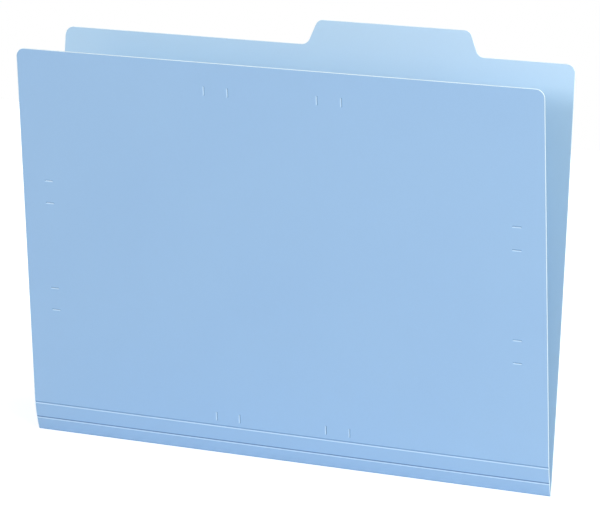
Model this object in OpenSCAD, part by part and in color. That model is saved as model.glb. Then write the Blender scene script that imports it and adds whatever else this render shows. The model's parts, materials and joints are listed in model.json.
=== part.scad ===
// File folder made from one creased polypropylene sheet.
// The front flap and the taller rear flap meet at a bottom fold.
// Two scores in front of the fold let the base widen.

/* [Sheet] */
// Thickness of the polypropylene sheet
sheet_t = 0.6; // [0.5:0.05:1]
// Width of the folder along its bottom fold
folder_w = 310; // [270:1:400]

/* [Rear panel] */
// Height of the rear panel from the fold to its top edge
rear_h = 232.5; // [200:0.5:300]
// Draw-in of each side of the rear panel at its top
rear_taper = 3.5; // [0:0.5:6]
// Radius of the rear panel's top corners
rear_corner_r = 5; // [1:0.5:12]
// Backward lean of the rear panel in degrees
rear_lean = 6.8; // [4:0.05:12]

/* [Index tab] */
// Height of the tab above the rear panel's top edge
tab_h = 14; // [10:0.5:25]
// Width of the tab along its top edge
tab_top_w = 88.5; // [40:0.5:110]
// Sideways run of each slanted tab side
tab_slope = 5.6; // [2:0.2:10]
// Distance of the tab's middle to the right of the folder's middle
tab_offset = 47; // [-60:1:60]
// Radius of the tab's top corners
tab_corner_r = 4.5; // [1:0.5:6]
// Radius of the hollow fillets at the tab's foot
tab_fillet_r = 5; // [1:0.5:6]

/* [Front panel] */
// Height of the front panel above the upper score
front_h = 210.5; // [180:0.5:270]
// Draw-in of each side of the front panel at its top
front_taper = 2; // [0:0.5:6]
// Radius of the front panel's top corners
front_corner_r = 5; // [1:0.5:12]
// Forward lean of the front panel in degrees
front_lean = 6.65; // [4:0.05:12]

/* [Fold and scores] */
// Radius of the round web along the bottom fold
fold_web_r = 0.45; // [0.3:0.05:0.6]
// Height of the strip between the fold and the lower score
lower_strip_h = 8; // [5:0.5:15]
// Height of the strip between the two scores
upper_strip_h = 9.5; // [5:0.5:15]
// Inward bend at each score in degrees
score_bend = 6.4; // [2:0.1:12]
// Radius of the round web at the root of each score
score_web_r = 0.2; // [0.15:0.01:0.22]
// Depth of a score web's middle under the inner face
score_web_depth = 0.25; // [0.24:0.01:0.28]
// Depth to which a web sits in the plate that carries it
web_bite = 0.04; // [0.02:0.01:0.06]
// Clearance between a web and the plate that turns about it
web_clear = 0.05; // [0.03:0.01:0.1]

/* [Fastener slits] */
// Length of each slit
slit_len = 5; // [3:0.5:8]
// Width of each slit
slit_w = 0.3; // [0.2:0.1:1]
// Distance between the two outer slits of the top and bottom groups
slit_pitch = 80; // [60:1:100]
// Distance between the two slits of a pair in those groups
slit_gap = 14; // [8:0.5:20]
// Distance of the top slits' middle from the top edge
slit_inset = 16; // [10:0.5:25]
// Height of the bottom slits' middle above the upper score
slit_low_h = 5.6; // [5:0.1:12]
// Distance between the two outer slits of a side group
side_slit_pitch = 76.5; // [60:0.5:100]
// Distance between the two slits of a pair in a side group
side_slit_gap = 13; // [8:0.5:20]
// Distance of the side slits' middle from the ends of the bottom fold
side_slit_inset = 17.5; // [10:0.5:25]

/* [Hidden] */
$fn = 64;
corner_steps = 12;

lower_lean = front_lean + 2 * score_bend;
upper_lean = front_lean + score_bend;
outer_depth = sheet_t - score_web_depth;

// Bevels beside a score run at 45 degrees and stop at these distances
// from the web's axis, measured along the sheet
seat_run = (score_web_r - web_bite) * sqrt(2);
free_run = (score_web_r + web_clear) * sqrt(2);

tab_foot_w = tab_top_w + 2 * tab_slope;
side_slit_mid = (front_h - lower_strip_h - upper_strip_h) / 2;
side_slit_x = folder_w / 2 - side_slit_inset;

front_colour = "#9cc1e7";
rear_colour = "#b7d7f1";
web_colour = "#88aedc";

// Outline with its corners rounded, hollow corners as well as full ones

function unit(v) = v / norm(v);
function before(pts, i) = unit(pts[(i + len(pts) - 1) % len(pts)] - pts[i]);
function after(pts, i) = unit(pts[(i + 1) % len(pts)] - pts[i]);
function half_angle(pts, i) = acos(before(pts, i) * after(pts, i)) / 2;
function round_middle(pts, i, r) =
    pts[i] + unit(before(pts, i) + after(pts, i)) * r / sin(half_angle(pts, i));
function arc(pts, i, r) =
    let (
        middle = round_middle(pts, i, r),
        towards = pts[i] - middle,
        facing = atan2(towards.y, towards.x),
        side = cross(-before(pts, i), after(pts, i)) > 0 ? 1 : -1,
        sweep = side * (90 - half_angle(pts, i))
    )
    [for (k = [0 : corner_steps])
        let (a = facing + sweep * (2 * k / corner_steps - 1))
            middle + r * [cos(a), sin(a)]];

module rounded_outline(pts, radii) {
    polygon([for (i = [0 : len(pts) - 1])
        each radii[i] > 0 ? arc(pts, i, radii[i]) : [pts[i]]]);
}

// Places along the sheet, each with its own lean

module at_fold() {
    translate([0, 0, fold_web_r])
        children();
}

module at_rear() {
    at_fold()
        rotate([-rear_lean, 0, 0])
            children();
}

module at_lower_strip() {
    at_fold()
        rotate([lower_lean, 0, 0])
            children();
}

module at_lower_score() {
    at_lower_strip()
        translate([0, -score_web_depth, lower_strip_h])
            rotate([-score_bend, 0, 0])
                children();
}

module at_upper_score() {
    at_lower_score()
        translate([0, 0, upper_strip_h])
            rotate([-score_bend, 0, 0])
                children();
}

// Round web lying along the folder
module web(r) {
    rotate([0, 90, 0])
        cylinder(r = r, h = folder_w, center = true);
}

// Profile in the Y and Z plane, drawn out along the folder
module drawn_out() {
    rotate([90, 0, 90])
        linear_extrude(height = folder_w, center = true)
            children();
}

module slit(upright) {
    size = upright ? [slit_w, 3 * sheet_t, slit_len] : [slit_len, 3 * sheet_t, slit_w];
    cube(size, center = true);
}

// Places of a group's four slits along its edge
function slit_steps(pitch, gap) = [-pitch / 2, gap - pitch / 2, pitch / 2 - gap, pitch / 2];

module fastener_slits() {
    for (s = slit_steps(slit_pitch, slit_gap)) {
        translate([s, 0, front_h - slit_inset])
            slit(true);
        translate([s, 0, slit_low_h])
            slit(true);
    }
    for (s = slit_steps(side_slit_pitch, side_slit_gap), x = [-side_slit_x, side_slit_x])
        translate([x, 0, side_slit_mid + s])
            slit(false);
}

// Rear flap with its index tab
module rear_panel() {
    foot = fold_web_r - web_bite;
    half = folder_w / 2;
    top_half = half - rear_taper;
    tab_top = rear_h + tab_h;
    outline = [
        [-half, foot], [half, foot], [top_half, rear_h],
        [tab_offset + tab_foot_w / 2, rear_h], [tab_offset + tab_top_w / 2, tab_top],
        [tab_offset - tab_top_w / 2, tab_top], [tab_offset - tab_foot_w / 2, rear_h],
        [-top_half, rear_h]
    ];
    radii = [
        0, 0, rear_corner_r, tab_fillet_r, tab_corner_r,
        tab_corner_r, tab_fillet_r, rear_corner_r
    ];
    color(rear_colour)
        at_rear()
            difference() {
                translate([0, sheet_t, 0])
                    rotate([90, 0, 0])
                        linear_extrude(height = sheet_t)
                            rounded_outline(outline, radii);
                web(fold_web_r);
            }
}

// Web of the bottom fold, its axis on the inner faces
module main_fold_web() {
    color(web_colour)
        at_fold()
            web(fold_web_r);
}

// Strip between the fold and the lower score
module lower_score_strip() {
    foot = fold_web_r + web_clear;
    color(front_colour)
        at_lower_strip()
            drawn_out()
                difference() {
                    polygon([
                        [0, foot], [0, lower_strip_h + score_web_depth - seat_run],
                        [-sheet_t, lower_strip_h - outer_depth - seat_run], [-sheet_t, foot]
                    ]);
                    translate([-score_web_depth, lower_strip_h])
                        circle(r = score_web_r);
                }
}

// Web at the root of the lower score
module lower_score_web() {
    color(web_colour)
        at_lower_score()
            web(score_web_r);
}

// Strip between the two scores
module upper_score_strip() {
    color(front_colour)
        at_lower_score()
            drawn_out()
                difference() {
                    polygon([
                        [score_web_depth, free_run - score_web_depth],
                        [score_web_depth, upper_strip_h + score_web_depth - seat_run],
                        [-outer_depth, upper_strip_h - outer_depth - seat_run],
                        [-outer_depth, free_run + outer_depth]
                    ]);
                    translate([0, upper_strip_h])
                        circle(r = score_web_r);
                }
}

// Web at the root of the upper score
module upper_score_web() {
    color(web_colour)
        at_upper_score()
            web(score_web_r);
}

// Front flap with its fastener slits
module front_panel() {
    foot = free_run - score_web_depth;
    half = folder_w / 2;
    top_half = half - front_taper;
    outline = [[-half, foot], [half, foot], [top_half, front_h], [-top_half, front_h]];
    color(front_colour)
        at_upper_score()
            difference() {
                translate([0, score_web_depth, 0])
                    rotate([90, 0, 0])
                        linear_extrude(height = sheet_t)
                            rounded_outline(outline, [0, 0, front_corner_r, front_corner_r]);
                rotate([90, 0, 90])
                    linear_extrude(height = folder_w + 2 * sheet_t, center = true)
                        polygon([
                            [sheet_t, free_run - sheet_t], [-sheet_t, free_run + sheet_t],
                            [-sheet_t, -sheet_t], [sheet_t, -sheet_t]
                        ]);
                fastener_slits();
            }
}

rear_panel();
main_fold_web();
lower_score_strip();
lower_score_web();
upper_score_strip();
upper_score_web();
front_panel();
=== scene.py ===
import json
import math

import bmesh
import bpy
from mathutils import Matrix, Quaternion, Vector


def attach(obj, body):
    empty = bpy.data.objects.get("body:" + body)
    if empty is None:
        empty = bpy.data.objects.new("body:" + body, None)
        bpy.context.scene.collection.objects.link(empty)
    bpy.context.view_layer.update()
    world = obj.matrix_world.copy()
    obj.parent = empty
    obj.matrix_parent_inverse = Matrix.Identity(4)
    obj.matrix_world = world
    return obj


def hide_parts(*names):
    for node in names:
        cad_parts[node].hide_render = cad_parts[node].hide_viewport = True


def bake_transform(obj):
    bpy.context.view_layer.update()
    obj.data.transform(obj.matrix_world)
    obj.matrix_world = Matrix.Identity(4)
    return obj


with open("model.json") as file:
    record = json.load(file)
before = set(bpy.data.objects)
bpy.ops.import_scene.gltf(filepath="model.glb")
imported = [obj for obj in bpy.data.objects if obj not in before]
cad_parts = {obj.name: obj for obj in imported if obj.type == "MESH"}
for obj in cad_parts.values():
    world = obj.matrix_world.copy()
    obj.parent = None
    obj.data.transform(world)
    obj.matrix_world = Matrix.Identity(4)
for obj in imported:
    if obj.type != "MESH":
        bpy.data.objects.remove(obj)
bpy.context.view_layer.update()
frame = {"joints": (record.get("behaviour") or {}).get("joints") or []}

scene = bpy.context.scene
mm = 0.001               # sizes below are in millimetres, meshes are in metres

# the sheet that the whole folder is cut from
sheet = {
    "thickness": 0.6,
    "width": 310.0,          # along the bottom fold
    "cutBevel": 0.24,        # rounding that the cutting rule leaves on an edge
    "bevelSteps": 3,
    "crispAngle": 14.0,      # degrees between faces past which their border is crisp
    "rimAngle": 50.0,        # degrees between faces past which an edge is the sheet's rim
    "broadNormal": 0.98,     # least upward share of a broad face's normal, on the flat sheet
    "cornerSteps": 14,
    "spare": 3.0,            # sheet left past a crease and then trimmed off
    "weld": 0.001,           # points closer than this are one
    "trimSlack": 1e-5,       # and points this close to a cut are on it
}

# leans of the plates from upright, in degrees, as the folder stands open
lean = {"rear": -6.8, "lower": 19.45, "upper": 13.05, "front": 6.65}

# each crease's axis, in millimetres from the fold's middle on the floor
crease = {j["name"]: Vector(j["pos_m"]) / mm for j in frame["joints"]}
print("frame loaded, creases at", {k: [round(c, 2) for c in v] for k, v in crease.items()})


def smoothStep(x):
    x = min(max(x, 0.0), 1.0)
    return x * x * (3 - 2 * x)


def turned(axis, degrees, y, z):     # a place beside a crease, on a plate with that lean
    a = math.radians(degrees)
    return axis.y + y * math.cos(a) - z * math.sin(a), axis.z + y * math.sin(a) + z * math.cos(a)


# camera of the photo, in degrees and millimetres
photoView = {
    "azimuth": 22.322, "elevation": 12.677, "roll": 0.920,
    "distance": 1613.99,
    "right": 7.79, "up": 111.35,     # of the picture's middle from the fold's middle
    "focalPixels": 2885.0, "picturePixels": 600,
}


def makeCamera(v):
    a, e = math.radians(v["azimuth"]), math.radians(v["elevation"])
    back = Vector((math.sin(a) * math.cos(e), -math.cos(a) * math.cos(e), math.sin(e)))
    turn = back.to_track_quat("Z", "Y") @ Quaternion((0, 0, 1), math.radians(v["roll"]))
    aim = turn @ Vector((v["right"], v["up"], 0))
    data = bpy.data.cameras.new("photoCamera")
    data.sensor_width = 36.0
    data.lens = v["focalPixels"] * data.sensor_width / v["picturePixels"]
    data.clip_start, data.clip_end = 0.05, 50
    camera = bpy.data.objects.new("photoCamera", data)
    camera.location = (aim + back * v["distance"]) * mm
    camera.rotation_euler = turn.to_euler()
    scene.collection.objects.link(camera)
    scene.camera = camera


makeCamera(photoView)
print("camera set")


def linear(hexColour):               # sRGB hex to linear, with alpha
    parts = [int(hexColour[i:i + 2], 16) / 255 for i in (1, 3, 5)]
    return [c / 12.92 if c <= 0.04045 else ((c + 0.055) / 1.055) ** 2.4 for c in parts] + [1.0]


def addNode(tree, kind, settings=None, links=None):
    node = tree.nodes.new(kind)
    for name, value in (settings or {}).items():
        if isinstance(name, str) and hasattr(node, name):
            setattr(node, name, value)
        else:
            node.inputs[name].default_value = value
    for socket, source in (links or {}).items():
        tree.links.new(source, node.inputs[socket])
    return node


def newMaterial(name):
    material = bpy.data.materials.new(name)
    material.use_nodes = True
    material.node_tree.nodes.clear()
    return material, material.node_tree


noiseSpan = {"From Min": 0.3, "From Max": 0.7}     # where nearly all of a noise texture's values lie
sheetIor = 1.49                                    # of polypropylene


def sheetMaterial(name, look, paintedBands=()):
    # the bands are painted shade and painted highlight colours at distances in millimetres across a crease,
    # laid over the sheet's own
    material, tree = newMaterial(name)
    place = addNode(tree, "ShaderNodeTexCoord").outputs["Object"]
    # broad cloudiness of an extruded sheet
    cloud = addNode(tree, "ShaderNodeTexNoise",
                    {"Scale": 1 / (look["cloudMm"] * mm), "Detail": 2.0, "Roughness": 0.5},
                    {"Vector": place})
    # the emboss roller's grain
    grain = addNode(tree, "ShaderNodeTexNoise",
                    {"Scale": 1 / (look["grainMm"] * mm), "Detail": 1.0, "Roughness": 0.45},
                    {"Vector": place})
    tint = addNode(tree, "ShaderNodeMix",
                   {"data_type": "RGBA", 6: linear(look["deep"]), 7: linear(look["pale"])},
                   {"Factor": cloud.outputs["Fac"]})
    shade = tint.outputs[2]
    if paintedBands:
        where = addNode(tree, "ShaderNodeAttribute", {"attribute_name": "across"})
        span = paintedBands[-1][0] - paintedBands[0][0]
        share = addNode(tree, "ShaderNodeMapRange", {"From Min": paintedBands[0][0], "From Max": paintedBands[-1][0]},
                        {"Value": where.outputs["Fac"]})
        ramp = addNode(tree, "ShaderNodeValToRGB", None, {"Fac": share.outputs["Result"]})
        stops = ramp.color_ramp.elements
        while len(stops) < len(paintedBands):
            stops.new(0.5)
        for stop, (at, hexColour) in zip(stops, paintedBands):
            stop.position, stop.color = (at - paintedBands[0][0]) / span, linear(hexColour)
        shade = ramp.outputs["Color"]
    fleck = addNode(tree, "ShaderNodeMapRange",
                    {**noiseSpan, "To Min": 1 - look["fleck"], "To Max": 1 + look["fleck"]},
                    {"Value": grain.outputs["Fac"]})
    colour = addNode(tree, "ShaderNodeVectorMath", {"operation": "SCALE"},
                     {0: shade, "Scale": fleck.outputs["Result"]})
    rough = addNode(tree, "ShaderNodeMapRange",
                    {**noiseSpan, "To Min": look["rough"] - look["roughSpan"],
                     "To Max": look["rough"] + look["roughSpan"]},
                    {"Value": grain.outputs["Fac"]})
    bump = addNode(tree, "ShaderNodeBump",
                   {"Strength": 1.0, "Distance": look["grainDepth"] * mm}, {"Height": grain.outputs["Fac"]})
    shader = addNode(tree, "ShaderNodeBsdfPrincipled", {"IOR": sheetIor, "Specular IOR Level": look["sheen"]},
                     {"Base Color": colour.outputs["Vector"], "Roughness": rough.outputs["Result"],
                      "Normal": bump.outputs["Normal"]})
    addNode(tree, "ShaderNodeOutputMaterial", None, {"Surface": shader.outputs["BSDF"]})
    return material


# polypropylene, extruded and run over a matt roller: an even, chalky pale blue with hardly any gloss
outsideLook = {
    "deep": "#9abfe5", "pale": "#9ec3e7", "cloudMm": 70, "sheen": 0.5,
    "grainMm": 1.1,                  # real grain near 0.3, coarser to show
    "grainDepth": 0.012, "fleck": 0.006, "rough": 0.56, "roughSpan": 0.04}
embossedOutside = sheetMaterial("polypropyleneEmbossedOutside", outsideLook)


# the same face where a score is pressed, with painted shade at the thin root and a painted highlight along
# the lower lip
def shadeAndHighlightMaterial(name, paintedShadeColours):
    return sheetMaterial(name, outsideLook, paintedBands=(
        (-0.85, "#9cc1e5"), (-0.68, "#aed2f4"), (-0.4, "#d4ebfe"), (-0.15, "#aed2f4"),
        (0.05, paintedShadeColours[0]), (0.35, paintedShadeColours[1]), (0.65, paintedShadeColours[2]), (0.85, "#9cc1e5")))


# painted shade and highlight bands: darker for the lower score, lighter for the upper score and the slits'
# lips
darkerShadeAndHighlight = shadeAndHighlightMaterial("polypropyleneDarkerShadeAndHighlight", ("#5f84b3", "#476ea0", "#7298c6"))
lighterShadeAndHighlight = shadeAndHighlightMaterial("polypropyleneLighterShadeAndHighlight", ("#7ca1cb", "#7096c1", "#86acd5"))

# the same sheet's chill-roll side: smoother, with a sheen that takes on the white of the room near the rim
# and the blue of the other flap down in the fold. Its colour is painted paler than the outside's: painted
# light, beside the real sheen
smoothInside = sheetMaterial("polypropyleneSmoothInside", {
    "deep": "#aed0eb", "pale": "#b3d5ed", "cloudMm": 70, "grainMm": 1.4, "sheen": 1.0,
    "grainDepth": 0.0008, "fleck": 0.003, "rough": 0.3, "roughSpan": 0.015})

# edge left by a steel cutting rule, painted nearly white: a painted highlight, as if every cut edge caught
# the light
cutEdgeHighlight = sheetMaterial("polypropyleneCutEdgeHighlight", {
    "deep": "#e6f9ff", "pale": "#eefcff", "cloudMm": 9, "grainMm": 0.5, "sheen": 0.5,
    "grainDepth": 0.01, "fleck": 0.01, "rough": 0.38, "roughSpan": 0.05})
print("materials made")


def dieCutTree():                    # outline and slits of a flat sheet, cut to thickness
    tree = bpy.data.node_groups.new("dieCutSheet", "GeometryNodeTree")
    tree.interface.new_socket("Geometry", in_out="INPUT", socket_type="NodeSocketGeometry")
    for name in ("Sheet Thickness", "Slit Length", "Slit Width", "Slit Lip", "Slit Margin"):
        tree.interface.new_socket(name, in_out="INPUT", socket_type="NodeSocketFloat")
    tree.interface.new_socket("Sheet Material", in_out="INPUT", socket_type="NodeSocketMaterial")
    tree.interface.new_socket("Geometry", in_out="OUTPUT", socket_type="NodeSocketGeometry")
    given = addNode(tree, "NodeGroupInput").outputs
    isSlit = addNode(tree, "GeometryNodeInputNamedAttribute", {"data_type": "BOOLEAN", "Name": "isSlit"})
    parts = addNode(tree, "GeometryNodeSeparateGeometry", {"domain": "POINT"},
                    {"Geometry": given["Geometry"], "Selection": isSlit.outputs["Attribute"]})
    places = parts.outputs["Selection"]
    outline = addNode(tree, "GeometryNodeMeshToCurve", None, {"Mesh": parts.outputs["Inverted"]})
    # one slit with its pressed lip, in a small rectangle of sheet
    double, endRound, endSteps = 2.0, 0.49, 4
    loops = []
    for grow in (None, given["Slit Lip"], given["Slit Margin"]):
        sizes = [given["Slit Length"], given["Slit Width"]]
        if grow is not None:
            sizes = [addNode(tree, "ShaderNodeMath", {"operation": "MULTIPLY_ADD", 1: double},
                             {0: grow, 2: size}).outputs["Value"] for size in sizes]
        slot = addNode(tree, "GeometryNodeCurvePrimitiveQuadrilateral", None,
                       {"Width": sizes[0], "Height": sizes[1]})
        half = addNode(tree, "ShaderNodeMath", {"operation": "MULTIPLY", 1: endRound}, {0: sizes[1]})
        ends = addNode(tree, "GeometryNodeFilletCurve", {"mode": "POLY", "Count": endSteps},
                       {"Curve": slot.outputs["Curve"], "Radius": half.outputs["Value"]})
        loops.append((slot if len(loops) == 2 else ends).outputs["Curve"])
    patch = loops[2]
    lips = addNode(tree, "GeometryNodeJoinGeometry")
    for inner, outer in ((loops[0], loops[1]), (loops[1], loops[2])):
        ring = addNode(tree, "GeometryNodeJoinGeometry")
        tree.links.new(inner, ring.inputs["Geometry"])
        tree.links.new(outer, ring.inputs["Geometry"])
        filled = addNode(tree, "GeometryNodeFillCurve", None, {"Curve": ring.outputs["Geometry"]})
        tree.links.new(filled.outputs["Mesh"], lips.inputs["Geometry"])
    # that rectangle is left out of the sheet at every slit's place, and set back in with its slit
    turn = addNode(tree, "GeometryNodeInputNamedAttribute", {"data_type": "FLOAT", "Name": "turn"})
    aboutSheet = addNode(tree, "ShaderNodeCombineXYZ", None, {"Z": turn.outputs["Attribute"]})
    spun = addNode(tree, "FunctionNodeEulerToRotation", None, {"Euler": aboutSheet.outputs["Vector"]})
    gaps = addNode(tree, "GeometryNodeInstanceOnPoints", None,
                   {"Points": places, "Instance": patch, "Rotation": spun.outputs["Rotation"]})
    slits = addNode(tree, "GeometryNodeInstanceOnPoints", None,
                    {"Points": places, "Instance": lips.outputs["Geometry"],
                     "Rotation": spun.outputs["Rotation"]})
    windows = addNode(tree, "GeometryNodeRealizeInstances", None, {"Geometry": gaps.outputs["Instances"]})
    rule = addNode(tree, "GeometryNodeJoinGeometry")
    tree.links.new(outline.outputs["Curve"], rule.inputs["Geometry"])
    tree.links.new(windows.outputs["Geometry"], rule.inputs["Geometry"])
    plain = addNode(tree, "GeometryNodeFillCurve", {"mode": "NGONS"}, {"Curve": rule.outputs["Geometry"]})
    marked = addNode(tree, "GeometryNodeStoreNamedAttribute",
                     {"data_type": "FLOAT", "domain": "POINT", "Name": "atSlit", "Value": 1.0},
                     {"Geometry": slits.outputs["Instances"]})
    backIn = addNode(tree, "GeometryNodeRealizeInstances", None, {"Geometry": marked.outputs["Geometry"]})
    pieces = addNode(tree, "GeometryNodeJoinGeometry")
    tree.links.new(plain.outputs["Mesh"], pieces.inputs["Geometry"])
    tree.links.new(backIn.outputs["Geometry"], pieces.inputs["Geometry"])
    face = addNode(tree, "GeometryNodeMergeByDistance", {"Distance": sheet["weld"]},
                   {"Geometry": pieces.outputs["Geometry"]})
    raised = addNode(tree, "GeometryNodeExtrudeMesh", {"mode": "FACES", "Individual": False},
                     {"Mesh": face.outputs["Geometry"], "Offset Scale": given["Sheet Thickness"]})
    under = addNode(tree, "GeometryNodeFlipFaces", None, {"Mesh": face.outputs["Geometry"]})
    whole = addNode(tree, "GeometryNodeJoinGeometry")
    tree.links.new(raised.outputs["Mesh"], whole.inputs["Geometry"])
    tree.links.new(under.outputs["Mesh"], whole.inputs["Geometry"])
    closed = addNode(tree, "GeometryNodeMergeByDistance", {"Distance": sheet["weld"]},
                     {"Geometry": whole.outputs["Geometry"]})
    # only the outline's rim is rounded; a slit's rim stays as the punch leaves it
    slope = addNode(tree, "GeometryNodeInputMeshEdgeAngle")
    rim = addNode(tree, "ShaderNodeMath", {"operation": "GREATER_THAN", 1: math.radians(sheet["rimAngle"])},
                  {0: slope.outputs["Unsigned Angle"]})
    atSlit = addNode(tree, "GeometryNodeInputNamedAttribute", {"data_type": "FLOAT", "Name": "atSlit"})
    outer = addNode(tree, "ShaderNodeMath", {"operation": "SUBTRACT", "use_clamp": True},
                    {0: rim.outputs["Value"], 1: atSlit.outputs["Attribute"]})
    rounded = addNode(tree, "GeometryNodeStoreNamedAttribute",
                      {"data_type": "FLOAT", "domain": "EDGE", "Name": "bevel_weight_edge"},
                      {"Geometry": closed.outputs["Geometry"], "Value": outer.outputs["Value"]})
    real = addNode(tree, "GeometryNodeRealizeInstances", None, {"Geometry": rounded.outputs["Geometry"]})
    painted = addNode(tree, "GeometryNodeSetMaterial", None,
                      {"Geometry": real.outputs["Geometry"], "Material": given["Sheet Material"]})
    addNode(tree, "NodeGroupOutput", None, {"Geometry": painted.outputs["Geometry"]})
    return tree


dieCut = dieCutTree()
slit = {
    "length": 4.2, "width": 0.15,    # the 5 mm cut, nearly closed by the lip round it
    "pitch": 80.0, "gap": 14.0, "inset": 16.0, "lowHeight": 5.6,     # top and bottom groups
    "sidePitch": 76.5, "sideGap": 13.0, "sideInset": 17.5,
    "lip": 0.55, "lipDepth": 0.25,   # how far the knife draws the outer face in beside a slit
    "margin": 1.4,                   # plain sheet kept round the lip
    "lipSlack": 0.02,                # so that the lip's own rim counts as lip
}


def roundedOutline(corners):         # corners are x, y and radius, anticlockwise
    points = []
    for i, (x, y, r) in enumerate(corners):
        here = Vector((x, y))
        if r == 0:
            points.append(here)
            continue
        before = (Vector(corners[i - 1][:2]) - here).normalized()
        after = (Vector(corners[(i + 1) % len(corners)][:2]) - here).normalized()
        half = before.angle(after) / 2
        middle = here + (before + after).normalized() * (r / math.sin(half))
        facing = here - middle
        facing = math.atan2(facing.y, facing.x)
        side = 1 if before.x * after.y - before.y * after.x < 0 else -1
        sweep = side * (math.pi / 2 - half)
        for k in range(sheet["cornerSteps"] + 1):
            a = facing + sweep * (2 * k / sheet["cornerSteps"] - 1)
            points.append(middle + r * Vector((math.cos(a), math.sin(a))))
    return points


def cutSheet(name, outline, slits=()):
    mesh = bpy.data.meshes.new(name)
    count = len(outline)
    mesh.from_pydata([(p.x, p.y, 0) for p in outline] + [(x, y, 0) for x, y, a in slits],
                     [(i, (i + 1) % count) for i in range(count)], [])
    mesh.attributes.new("isSlit", "BOOLEAN", "POINT").data.foreach_set(
        "value", [False] * count + [True] * len(slits))
    mesh.attributes.new("turn", "FLOAT", "POINT").data.foreach_set(
        "value", [0.0] * count + [a for x, y, a in slits])
    piece = bpy.data.objects.new(name, mesh)
    scene.collection.objects.link(piece)
    cutter = piece.modifiers.new("dieCut", "NODES")
    cutter.node_group = dieCut
    ids = {s.name: s.identifier for s in dieCut.interface.items_tree if s.in_out == "INPUT"}
    cutter[ids["Sheet Thickness"]] = sheet["thickness"]
    cutter[ids["Slit Length"]] = slit["length"]
    cutter[ids["Slit Width"]] = slit["width"]
    cutter[ids["Slit Lip"]] = slit["lip"]
    cutter[ids["Slit Margin"]] = slit["margin"]
    cutter[ids["Sheet Material"]] = embossedOutside
    edge = piece.modifiers.new("cutEdge", "BEVEL")
    edge.width, edge.segments = sheet["cutBevel"], sheet["bevelSteps"]
    edge.limit_method = "WEIGHT"
    edge.use_clamp_overlap = False
    solid = bpy.data.meshes.new_from_object(piece.evaluated_get(bpy.context.evaluated_depsgraph_get()))
    piece.modifiers.clear()
    piece.data = solid
    bpy.data.meshes.remove(mesh)
    solid.name = name
    return piece


def trimmed(bm, height, keepAbove):  # cut across the sheet, closing the cut
    got = bmesh.ops.bisect_plane(bm, geom=bm.verts[:] + bm.edges[:] + bm.faces[:], dist=sheet["trimSlack"],
                                 plane_co=(0, height, 0), plane_no=(0, 1, 0),
                                 clear_inner=keepAbove, clear_outer=not keepAbove)
    rim = [g for g in got["geom_cut"] if isinstance(g, bmesh.types.BMEdge)]
    bmesh.ops.edgeloop_fill(bm, edges=rim)


def shaped(piece, low, high, cuts, place, outsideUp=True, outside=None, lips=None):
    # trims the flat sheet between low and high, adds cross lines at cuts, and sets every point in its place;
    # lips tells how far across a slit's lip a place lies, or None on plain sheet
    bm = bmesh.new()
    bm.from_mesh(piece.data)
    if low is not None:
        trimmed(bm, low, True)
    if high is not None:
        trimmed(bm, high, False)
    for height in cuts:
        bmesh.ops.bisect_plane(bm, geom=bm.verts[:] + bm.edges[:] + bm.faces[:], dist=sheet["trimSlack"],
                               plane_co=(0, height, 0), plane_no=(0, 1, 0))
    # across is millimetres over a score or a lip, which sets where its painted shade and highlight bands fall
    across = bm.verts.layers.float.new("across")     # millimetres over a score or a lip, for its colours
    bmesh.ops.recalc_face_normals(bm, faces=bm.faces[:])
    bm.normal_update()
    for f in bm.faces:               # outside, inside and cut edge, told by the flat sheet's own normals
        up = f.normal.z if outsideUp else -f.normal.z
        limit = sheet["broadNormal"]
        f.material_index = 0 if up > limit else 1 if up < -limit else 2
        # faces on a slit's lip take the lighter painted shade and painted highlight bands
        if lips and f.material_index == 0 and all(lips(v.co.x, v.co.y) is not None for v in f.verts):
            f.material_index = 3
        f.smooth = True
    for v in bm.verts:
        v[across] = (lips(v.co.x, v.co.y) or 0.0) if lips else v.co.y
        v.co = place(v.co.x, v.co.y, v.co.z) * mm
    bm.normal_update()
    for e in bm.edges:               # the broad faces stay even, with crisp borders
        e.smooth = e.calc_face_angle() < math.radians(sheet["crispAngle"])
    piece.data.materials.clear()
    # slots: outside, inside (colour painted paler), cut edge (painted highlight), score or slit lip (painted
    # shade and highlight)
    for material in (outside or embossedOutside, smoothInside, cutEdgeHighlight, lighterShadeAndHighlight):
        piece.data.materials.append(material)
    bm.to_mesh(piece.data)
    bm.free()


def crossBand(low, high):            # outline of a plain band of the full width, long enough to trim
    half, foot, top = sheet["width"] / 2, low - sheet["spare"], high + sheet["spare"]
    return [Vector(p) for p in ((-half, foot), (half, foot), (half, top), (-half, top))]


# the sheet beside its creases
score = {
    "halfWidth": 0.85, "axisDepth": 0.25,
    "depth": 0.32, "rootAt": 0.12,           # the root lies a little above the crease's middle
    "upperRun": 0.45, "lowerRun": 0.65,      # the upper wall is the steeper one
    "crossLines": 24,
}
fold = {
    "webRadius": 0.45, "webBore": 0.03, "webSteps": 22,
    "shoulder": 1.1, "shoulderLines": 6, "shoulderRim": 0.15,
}


def scored(z, away):                 # the outer face dips into a score, the inner face stays
    fromRoot = away - score["rootAt"]
    run = score["upperRun"] if fromRoot > 0 else score["lowerRun"]
    dip = score["depth"] * (1 - smoothStep(abs(fromRoot) / run))
    return z * (1 - dip / sheet["thickness"])


def pinched(z, away):                # the sheet is pressed thinner along the fold
    thin = fold["webRadius"] / sheet["thickness"]
    return z * (thin + (1 - thin) * smoothStep(away / fold["shoulder"]))


def steps(low, high, count):
    return [low + (high - low) * k / count for k in range(1, count)]


def pinch():                         # cross lines up the shoulder of the fold
    top = fold["shoulder"]
    return steps(0, top, fold["shoulderLines"]) + [top, top + fold["shoulderRim"]]


# rear flap with its index tab
rearFlap = {
    "height": 232.5, "drawIn": 3.5, "cornerRadius": 5.0,
    "tabHeight": 14.0, "tabTop": 88.5, "tabSlope": 5.6, "tabOffset": 47.0, "tabCorner": 4.5, "tabFillet": 5.0,
    "bow": 1.6,                      # how far the free sheet bellies out behind, at half its height
    "crossLines": 36,                # that the bow is bent along
}


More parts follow.
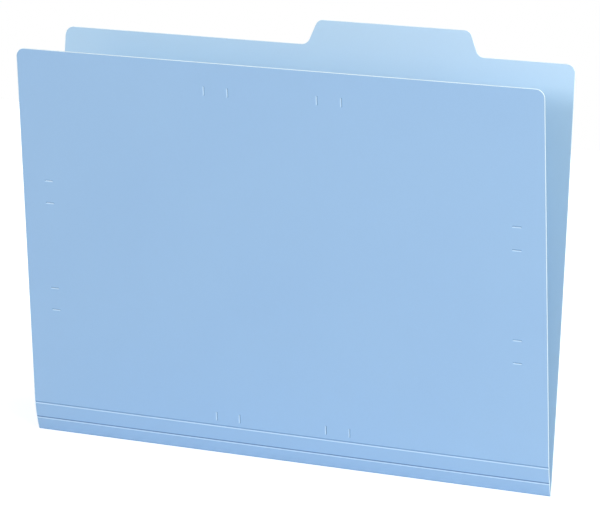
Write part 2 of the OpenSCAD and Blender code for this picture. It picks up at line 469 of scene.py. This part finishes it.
def makeRearFlap(r):
    half, below = sheet["width"] / 2, sheet["spare"]
    top = half - r["drawIn"]
    foot = half + r["drawIn"] * below / r["height"]
    tab, tabFoot, tabRim = r["tabOffset"], r["tabTop"] / 2 + r["tabSlope"], r["height"] + r["tabHeight"]
    outline = roundedOutline([
        (-foot, -below, 0), (foot, -below, 0), (top, r["height"], r["cornerRadius"]),
        (tab + tabFoot, r["height"], r["tabFillet"]), (tab + r["tabTop"] / 2, tabRim, r["tabCorner"]),
        (tab - r["tabTop"] / 2, tabRim, r["tabCorner"]), (tab - tabFoot, r["height"], r["tabFillet"]),
        (-top, r["height"], r["cornerRadius"])])

    def place(x, up, z):
        depth = pinched(sheet["thickness"] - z, up)
        share = up / tabRim
        belly = 4 * r["bow"] * share * (1 - share)
        return Vector((x, *turned(crease["main_fold"], lean["rear"], depth + belly, up)))

    piece = cutSheet("rearFlapSheet", outline)
    shaped(piece, 0.0, None, pinch() + steps(0, tabRim, r["crossLines"]), place, outsideUp=False)
    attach(piece, "rear_flap")
    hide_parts("rear_panel")


makeRearFlap(rearFlap)
print("rear flap made")


# front flap with its fastener slits
frontFlap = {"height": 210.5, "drawIn": 2.0, "cornerRadius": 5.0, "strips": 17.5}


def onFront(x, up, z):
    return Vector((x, *turned(crease["upper_score"], lean["front"], score["axisDepth"] - z, up)))


def besideSlit(x, up, places):       # distance from the nearest slit's rim, and how far across it
    for slitX, slitUp, a in places:
        along = abs((x - slitX) * math.cos(a) + (up - slitUp) * math.sin(a))
        aside = (up - slitUp) * math.cos(a) - (x - slitX) * math.sin(a)
        away = math.hypot(max(along - (slit["length"] - slit["width"]) / 2, 0), aside) - slit["width"] / 2
        if away < slit["lip"] + slit["lipSlack"]:
            return away, aside * score["halfWidth"] / (slit["lip"] + slit["width"] / 2)
    return None, None


def slitSteps(pitch, gap):           # places of a group's four slits along its edge
    return [-pitch / 2, gap - pitch / 2, pitch / 2 - gap, pitch / 2]


def makeFrontFlap(f):
    half, below = sheet["width"] / 2, sheet["spare"]
    top = half - f["drawIn"]
    foot = half + f["drawIn"] * below / f["height"]
    outline = roundedOutline([(-foot, -below, 0), (foot, -below, 0), (top, f["height"], f["cornerRadius"]),
                              (-top, f["height"], f["cornerRadius"])])
    sideMiddle, sideX = (f["height"] - f["strips"]) / 2, half - slit["sideInset"]
    upright, level = -math.pi / 2, 0.0
    places = [(s, y, upright) for s in slitSteps(slit["pitch"], slit["gap"])
              for y in (f["height"] - slit["inset"], slit["lowHeight"])]
    places += [(x, sideMiddle + s, level) for s in slitSteps(slit["sidePitch"], slit["sideGap"])
               for x in (-sideX, sideX)]

    def place(x, up, z):
        away = besideSlit(x, up, places)[0]
        dip = 0 if away is None else slit["lipDepth"] * min(max(1 - away / slit["lip"], 0), 1)
        return onFront(x, up, z * (1 - dip / sheet["thickness"]))

    piece = cutSheet("frontFlapSheet", outline, places)
    # the slits' lips carry painted shade and painted highlight bands across them
    shaped(piece, score["halfWidth"], None, [], place, lips=lambda x, up: besideSlit(x, up, places)[1])
    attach(piece, "front_flap")
    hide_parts("front_panel")


makeFrontFlap(frontFlap)
print("front flap made")


# strips between the fold and the two scores
strips = {"lowerHeight": 8.0, "upperHeight": 9.5}


def onLower(x, up, z):
    return Vector((x, *turned(crease["main_fold"], lean["lower"], -pinched(z, up), up)))


def onUpper(x, up, z):
    return Vector((x, *turned(crease["lower_score"], lean["upper"], score["axisDepth"] - z, up)))


def makeStrips(s):
    web, low, high = score["halfWidth"], s["lowerHeight"], s["upperHeight"]
    lower = cutSheet("lowerStripSheet", crossBand(0, low))
    shaped(lower, 0.0, low - web, pinch(), onLower)
    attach(lower, "lower_strip")
    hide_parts("lower_score_strip")
    upper = cutSheet("upperStripSheet", crossBand(0, high))
    shaped(upper, web, high - web, [], onUpper)
    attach(upper, "upper_strip")
    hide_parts("upper_score_strip")


makeStrips(strips)
print("strips made")


# webs over the creases, which keep the sheet whole between the plates; before and after place a point on the
# plates below and above a score
def makeScoreWeb(name, node, outside, before, after):
    half = score["halfWidth"]

    def place(x, up, z):
        share = smoothStep((up + half) / (2 * half))
        return before(x, up, scored(z, up)).lerp(after(x, up, scored(z, up)), share)

    piece = cutSheet(name, crossBand(-half, half))
    shaped(piece, -half, half, steps(-half, half, score["crossLines"]), place, outside=outside)
    middle = sheet["thickness"] / 2
    before(0, -half, middle) * mm
    after(0, half, middle) * mm
    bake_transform(piece)
    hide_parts(node)


makeScoreWeb("lowerScoreCrease", "lower_score_web", darkerShadeAndHighlight,
             lambda x, up, z: onLower(x, up + strips["lowerHeight"], z), onUpper)
makeScoreWeb("upperScoreCrease", "upper_score_web", lighterShadeAndHighlight,
             lambda x, up, z: onUpper(x, up + strips["upperHeight"], z), onFront)


def makeFoldWeb(f):
    sweep = 180 + lean["rear"] - lean["lower"]     # how far the outer face runs round the fold

    def place(x, up, z):
        radius = f["webBore"] + (f["webRadius"] - f["webBore"]) * z / sheet["thickness"]
        a = math.radians(lean["rear"] - sweep * up / f["webSteps"])
        return crease["main_fold"] + Vector((x, radius * math.cos(a), radius * math.sin(a)))

    piece = cutSheet("bottomFoldCrease", crossBand(0, f["webSteps"]))
    shaped(piece, 0.0, float(f["webSteps"]), [float(k) for k in range(1, f["webSteps"])], place)
    rim = sheet["thickness"]
    place(0, 0, rim) * mm
    place(0, f["webSteps"], rim) * mm
    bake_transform(piece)
    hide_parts("main_fold_web")


makeFoldWeb(fold)
print("creases made")


# floor, light and background, in metres and watts
studio = {
    "floorSize": 2.0, "floorColour": "#f4f5f6",
    "floorCells": 8, "floorDrop": 0.00002,
    "nearGlow": 0.5, "farGlow": 0.75, "nearReach": 0.2, "farReach": 0.55,   # the sweep fades to white
    "ambient": 0.24,
    "aim": (0, 0, 0.12),
    "softboxes": {           # place, size and watts
        "rightSoftbox": ((1.9, -1.1, 0.8), 0.9, 23.0),
        "leftSoftbox": ((-1.9, -1.1, 0.6), 0.9, 7.0),
        "frontSoftbox": ((-0.5, -2.2, 0.8), 0.6, 10.0),
        "overheadSoftbox": ((0.4, -0.3, 1.1), 0.6, 4.2),
        "backSoftbox": ((0.3, 2.0, 0.9), 0.9, 22.0),
    },
}


def makeFloor(s):
    bm = bmesh.new()
    cells = s["floorCells"]
    bmesh.ops.create_grid(bm, x_segments=cells, y_segments=cells, size=s["floorSize"] / 2)
    bmesh.ops.translate(bm, verts=bm.verts[:], vec=(0, 0, -s["floorDrop"]))
    mesh = bpy.data.meshes.new("studioFloor")
    bm.to_mesh(mesh)
    bm.free()
    floor = bpy.data.objects.new("studioFloor", mesh)
    scene.collection.objects.link(floor)
    material, tree = newMaterial("paleStudioFloor")
    place = addNode(tree, "ShaderNodeTexCoord")
    reach = addNode(tree, "ShaderNodeVectorMath", {"operation": "LENGTH"}, {0: place.outputs["Object"]})
    white = addNode(tree, "ShaderNodeMapRange",
                    {"From Min": s["nearReach"], "From Max": s["farReach"],
                     "To Min": s["nearGlow"], "To Max": s["farGlow"]},
                    {"Value": reach.outputs["Value"]})
    rays = addNode(tree, "ShaderNodeLightPath")
    seen = addNode(tree, "ShaderNodeMath", {"operation": "MULTIPLY"},
                   {0: rays.outputs["Is Camera Ray"], 1: white.outputs["Result"]})
    paint = addNode(tree, "ShaderNodeBsdfDiffuse", {"Color": linear(s["floorColour"])})
    glow = addNode(tree, "ShaderNodeEmission", {"Color": (1, 1, 1, 1)}, {"Strength": seen.outputs["Value"]})
    both = addNode(tree, "ShaderNodeAddShader", None, {0: paint.outputs["BSDF"], 1: glow.outputs["Emission"]})
    addNode(tree, "ShaderNodeOutputMaterial", None, {"Surface": both.outputs["Shader"]})
    mesh.materials.append(material)


def makeWorld(s):
    world = bpy.data.worlds.new("whiteStudio")
    world.use_nodes = True
    tree = world.node_tree
    tree.nodes.clear()
    rays = addNode(tree, "ShaderNodeLightPath").outputs
    direct = addNode(tree, "ShaderNodeMath", {"operation": "MAXIMUM"},
                     {0: rays["Is Camera Ray"], 1: rays["Is Glossy Ray"]})
    plain = addNode(tree, "ShaderNodeMath", {"operation": "MAXIMUM"},
                    {0: direct.outputs["Value"], 1: rays["Is Transmission Ray"]})
    level = addNode(tree, "ShaderNodeMapRange", {"To Min": s["ambient"], "To Max": 1.0},
                    {"Value": plain.outputs["Value"]})
    sky = addNode(tree, "ShaderNodeBackground", {"Color": (1, 1, 1, 1)},
                  {"Strength": level.outputs["Result"]})
    addNode(tree, "ShaderNodeOutputWorld", None, {"Surface": sky.outputs["Background"]})
    scene.world = world


def addSoftbox(name, location, aim, size, watts):
    data = bpy.data.lights.new(name, "AREA")
    data.shape, data.size, data.energy = "DISK", size, watts
    lamp = bpy.data.objects.new(name, data)
    lamp.location = location
    lamp.rotation_euler = (Vector(location) - Vector(aim)).to_track_quat("Z", "Y").to_euler()
    scene.collection.objects.link(lamp)


makeFloor(studio)
makeWorld(studio)
for softbox, (location, size, watts) in studio["softboxes"].items():
    addSoftbox(softbox, location, studio["aim"], size, watts)
scene.view_settings.view_transform = "Standard"
print("floor and lights made")

print("pieces finished")
